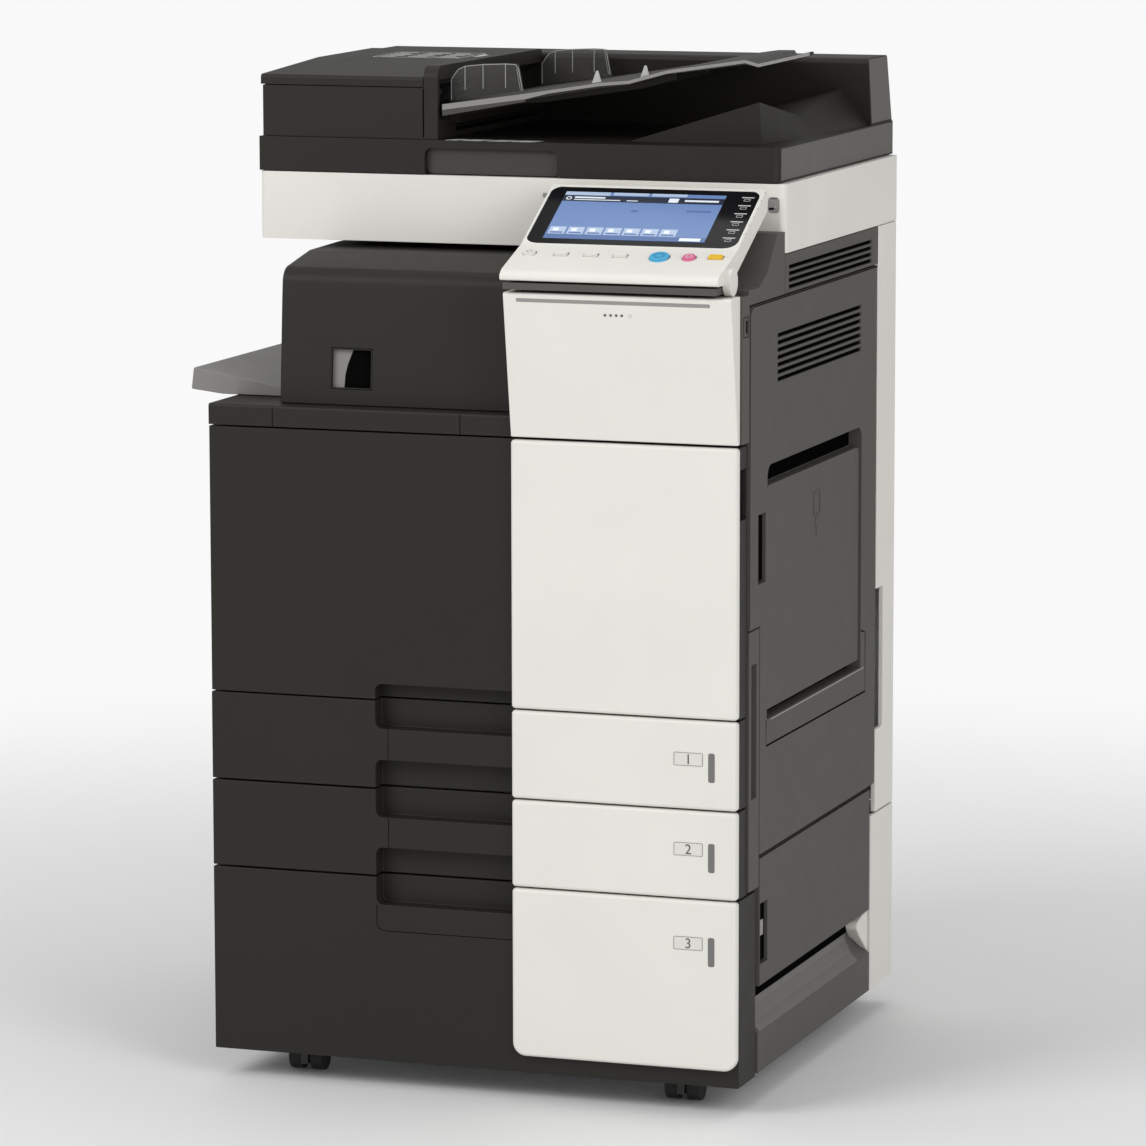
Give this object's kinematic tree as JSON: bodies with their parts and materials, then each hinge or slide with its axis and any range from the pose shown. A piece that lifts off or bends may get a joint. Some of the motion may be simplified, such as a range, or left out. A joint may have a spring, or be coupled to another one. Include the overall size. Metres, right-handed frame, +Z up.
{
  "type": "photocopier",
  "caption": "Floor-standing office photocopier with paper drawers, swing doors, bypass tray, touch panel, flatbed scanner and document feeder, on casters.",
  "frame": {"origin": "middle of the copier's bounding box, on the floor", "axes": "+X to the copier's right as seen from the front, +Y to its back, +Z up"},
  "size_m": [0.6968, 0.65, 1.1447],
  "materials": {
    "black_plastic": "fine-textured satin",
    "side_plastic": "fine-textured satin",
    "white_plastic": "smooth satin",
    "tray_grey_plastic": "fine-textured satin",
    "frame_steel": "galvanised sheet",
    "tray_plastic": "satin",
    "platen_glass": "polished",
    "clear_plastic": "clear moulded",
    "display_glass": "polished, lit screen behind it",
    "blue_key": "gloss",
    "pink_key": "gloss",
    "yellow_key": "gloss",
    "caster_rubber": "matt",
    "caster_steel": "satin black",
    "drum_coating": "mirror-smooth coating",
    "toner_plastic": "satin",
    "roller_rubber": "smooth silicone"
  },
  "bodies": {
    "copier_body": {"cabinet_frame": "frame_steel", "main_frame": "frame_steel", "left_cover": "side_plastic", "rear_cover_upper": "white_plastic", "rear_cover_lower": "white_plastic", "right_front_post": "side_plastic", "ledge_cover": "side_plastic", "vent_cover": "side_plastic", "tower_cover": "side_plastic", "slot_panel": "white_plastic", "shelf_cover": "black_plastic", "finisher_cover": "black_plastic", "output_tray": "tray_grey_plastic", "scanner_housing": "white_plastic", "platen_glass": "platen_glass", "adjuster_feet": "caster_steel"},
    "scan_carriage": {"scan_carriage": "black_plastic"},
    "drawer_1": {"drawer_1_front": "black_plastic", "drawer_1_panel": "white_plastic", "drawer_1_tray": "tray_plastic"},
    "drawer_2": {"drawer_2_front": "black_plastic", "drawer_2_panel": "white_plastic", "drawer_2_tray": "tray_plastic"},
    "drawer_3": {"drawer_3_front": "black_plastic", "drawer_3_panel": "white_plastic", "drawer_3_tray": "tray_plastic"},
    "front_door": {"front_door": "black_plastic", "front_door_panel": "white_plastic"},
    "right_door": {"right_door": "side_plastic"},
    "door_lever": {"door_lever": "black_plastic"},
    "bypass_tray": {"bypass_tray": "side_plastic"},
    "cabinet_door": {"cabinet_door": "side_plastic"},
    "cabinet_latch": {"cabinet_latch": "side_plastic"},
    "control_panel": {"panel_housing": "white_plastic", "panel_screen": "display_glass"},
    "power_button": {"power_button": "white_plastic"},
    "key_left": {"key_left": "white_plastic"},
    "key_middle": {"key_middle": "white_plastic"},
    "key_right": {"key_right": "white_plastic"},
    "start_button": {"start_button": "blue_key"},
    "stop_button": {"stop_button": "pink_key"},
    "reset_button": {"reset_button": "yellow_key"},
    "feeder": {"feeder_base": "black_plastic", "feeder_head": "black_plastic"},
    "feeder_top_cover": {"feeder_top_cover": "black_plastic"},
    "document_tray": {"document_tray": "black_plastic"},
    "document_guide_front": {"document_guide_front": "clear_plastic"},
    "document_guide_rear": {"document_guide_rear": "clear_plastic"},
    "caster_fork_front_left": {"caster_fork_front_left": "caster_steel"},
    "caster_wheels_front_left": {"caster_wheels_front_left": "caster_rubber"},
    "caster_fork_front_right": {"caster_fork_front_right": "caster_steel"},
    "caster_wheels_front_right": {"caster_wheels_front_right": "caster_rubber"},
    "caster_fork_rear_left": {"caster_fork_rear_left": "caster_steel"},
    "caster_wheels_rear_left": {"caster_wheels_rear_left": "caster_rubber"},
    "caster_fork_rear_right": {"caster_fork_rear_right": "caster_steel"},
    "caster_wheels_rear_right": {"caster_wheels_rear_right": "caster_rubber"},
    "photoconductor_drum": {"photoconductor_drum": "drum_coating"},
    "toner_bottle": {"toner_bottle": "toner_plastic"},
    "fuser_heat_roller": {"fuser_heat_roller": "roller_rubber"},
    "fuser_pressure_roller": {"fuser_pressure_roller": "roller_rubber"}
  },
  "joints": [
    {"name": "scan_travel", "type": "slide", "parent": "copier_body", "child": "scan_carriage", "axis": [1, 0, 0], "range_m": [0, 0.45]},
    {"name": "drawer_1_slide", "type": "slide", "parent": "copier_body", "child": "drawer_1", "axis": [0, -1, 0], "range_m": [0, 0.4]},
    {"name": "drawer_2_slide", "type": "slide", "parent": "copier_body", "child": "drawer_2", "axis": [0, -1, 0], "range_m": [0, 0.4]},
    {"name": "drawer_3_slide", "type": "slide", "parent": "copier_body", "child": "drawer_3", "axis": [0, -1, 0], "range_m": [0, 0.4]},
    {"name": "front_door_hinge", "type": "hinge", "parent": "copier_body", "child": "front_door", "pos_m": [-0.2865, -0.264, 0.585], "axis": [0, 0, -1], "range_deg": [0, 90]},
    {"name": "right_door_hinge", "type": "hinge", "parent": "copier_body", "child": "right_door", "pos_m": [0.3135, 0.225, 0.58], "axis": [0, 0, 1], "range_deg": [0, 90]},
    {"name": "door_lever_pull", "type": "hinge", "parent": "right_door", "child": "door_lever", "pos_m": [0.3115, -0.203, 0.614], "axis": [0, 0, 1], "range_deg": [0, 20]},
    {"name": "bypass_tray_hinge", "type": "hinge", "parent": "right_door", "child": "bypass_tray", "pos_m": [0.3115, -0.01, 0.438], "axis": [0, 1, 0], "range_deg": [0, 75]},
    {"name": "cabinet_door_hinge", "type": "hinge", "parent": "copier_body", "child": "cabinet_door", "pos_m": [0.3135, 0.207, 0.204], "axis": [0, 0, 1], "range_deg": [0, 90]},
    {"name": "cabinet_latch_pull", "type": "hinge", "parent": "cabinet_door", "child": "cabinet_latch", "pos_m": [0.3115, -0.192, 0.189], "axis": [0, 0, 1], "range_deg": [0, 20]},
    {"name": "panel_tilt", "type": "hinge", "parent": "copier_body", "child": "control_panel", "pos_m": [0.1855, -0.2884, 0.9093], "axis": [1, 0, 0], "range_deg": [-6, 0]},
    {"name": "power_button_press", "type": "slide", "parent": "control_panel", "child": "power_button", "axis": [0, 0.3208, -0.9471], "range_m": [0, 0.0012], "stiffness_N_per_m": 400},
    {"name": "key_left_press", "type": "slide", "parent": "control_panel", "child": "key_left", "axis": [0, 0.3208, -0.9471], "range_m": [0, 0.0012], "stiffness_N_per_m": 400},
    {"name": "key_middle_press", "type": "slide", "parent": "control_panel", "child": "key_middle", "axis": [0, 0.3208, -0.9471], "range_m": [0, 0.0012], "stiffness_N_per_m": 400},
    {"name": "key_right_press", "type": "slide", "parent": "control_panel", "child": "key_right", "axis": [0, 0.3208, -0.9471], "range_m": [0, 0.0012], "stiffness_N_per_m": 400},
    {"name": "start_button_press", "type": "slide", "parent": "control_panel", "child": "start_button", "axis": [0, 0.3208, -0.9471], "range_m": [0, 0.0012], "stiffness_N_per_m": 400},
    {"name": "stop_button_press", "type": "slide", "parent": "control_panel", "child": "stop_button", "axis": [0, 0.3208, -0.9471], "range_m": [0, 0.0012], "stiffness_N_per_m": 400},
    {"name": "reset_button_press", "type": "slide", "parent": "control_panel", "child": "reset_button", "axis": [0, 0.3208, -0.9471], "range_m": [0, 0.0012], "stiffness_N_per_m": 400},
    {"name": "feeder_lid_hinge", "type": "hinge", "parent": "copier_body", "child": "feeder", "pos_m": [0.0085, 0.319, 1.0015], "axis": [-1, 0, 0], "range_deg": [0, 60]},
    {"name": "feeder_cover_hinge", "type": "hinge", "parent": "feeder", "child": "feeder_top_cover", "pos_m": [-0.2905, 0.075, 1.098], "axis": [0, -1, 0], "range_deg": [0, 70]},
    {"name": "document_tray_hinge", "type": "hinge", "parent": "feeder", "child": "document_tray", "pos_m": [-0.0755, 0.069, 1.0735], "axis": [0, -1, 0], "range_deg": [0, 12]},
    {"name": "front_guide_slide", "type": "slide", "parent": "document_tray", "child": "document_guide_front", "axis": [0, 1, 0], "range_m": [0, 0.08]},
    {"name": "rear_guide_slide", "type": "slide", "parent": "document_tray", "child": "document_guide_rear", "axis": [0, -1, 0], "range_m": [0, 0.08]},
    {"name": "caster_swivel_front_left", "type": "hinge", "parent": "copier_body", "child": "caster_fork_front_left", "pos_m": [-0.2065, -0.233, 0.045], "axis": [0, 0, 1], "continuous": true},
    {"name": "caster_roll_front_left", "type": "hinge", "parent": "caster_fork_front_left", "child": "caster_wheels_front_left", "pos_m": [-0.2065, -0.219, 0.0155], "axis": [1, 0, 0], "continuous": true},
    {"name": "caster_swivel_front_right", "type": "hinge", "parent": "copier_body", "child": "caster_fork_front_right", "pos_m": [0.2375, -0.233, 0.045], "axis": [0, 0, 1], "continuous": true},
    {"name": "caster_roll_front_right", "type": "hinge", "parent": "caster_fork_front_right", "child": "caster_wheels_front_right", "pos_m": [0.2375, -0.219, 0.0155], "axis": [1, 0, 0], "continuous": true},
    {"name": "caster_swivel_rear_left", "type": "hinge", "parent": "copier_body", "child": "caster_fork_rear_left", "pos_m": [-0.2065, 0.237, 0.045], "axis": [0, 0, 1], "continuous": true},
    {"name": "caster_roll_rear_left", "type": "hinge", "parent": "caster_fork_rear_left", "child": "caster_wheels_rear_left", "pos_m": [-0.2065, 0.251, 0.0155], "axis": [1, 0, 0], "continuous": true},
    {"name": "caster_swivel_rear_right", "type": "hinge", "parent": "copier_body", "child": "caster_fork_rear_right", "pos_m": [0.2375, 0.237, 0.045], "axis": [0, 0, 1], "continuous": true},
    {"name": "caster_roll_rear_right", "type": "hinge", "parent": "caster_fork_rear_right", "child": "caster_wheels_rear_right", "pos_m": [0.2375, 0.251, 0.0155], "axis": [1, 0, 0], "continuous": true},
    {"name": "drum_spin", "type": "hinge", "parent": "copier_body", "child": "photoconductor_drum", "pos_m": [0.1605, 0.027, 0.59], "axis": [0, 1, 0], "continuous": true},
    {"name": "toner_bottle_spin", "type": "hinge", "parent": "copier_body", "child": "toner_bottle", "pos_m": [-0.1445, 0.027, 0.56], "axis": [0, 1, 0], "continuous": true},
    {"name": "fuser_heat_spin", "type": "hinge", "parent": "copier_body", "child": "fuser_heat_roller", "pos_m": [0.2055, 0.027, 0.8], "axis": [0, 1, 0], "continuous": true},
    {"name": "fuser_pressure_spin", "type": "hinge", "parent": "copier_body", "child": "fuser_pressure_roller", "pos_m": [0.2385, 0.027, 0.8], "axis": [0, 1, 0], "continuous": true}
  ],
  "couplings": [
    {"joint": "rear_guide_slide", "follows": "front_guide_slide", "ratio": 1},
    {"joint": "fuser_pressure_spin", "follows": "fuser_heat_spin", "ratio": -1}
  ]
}
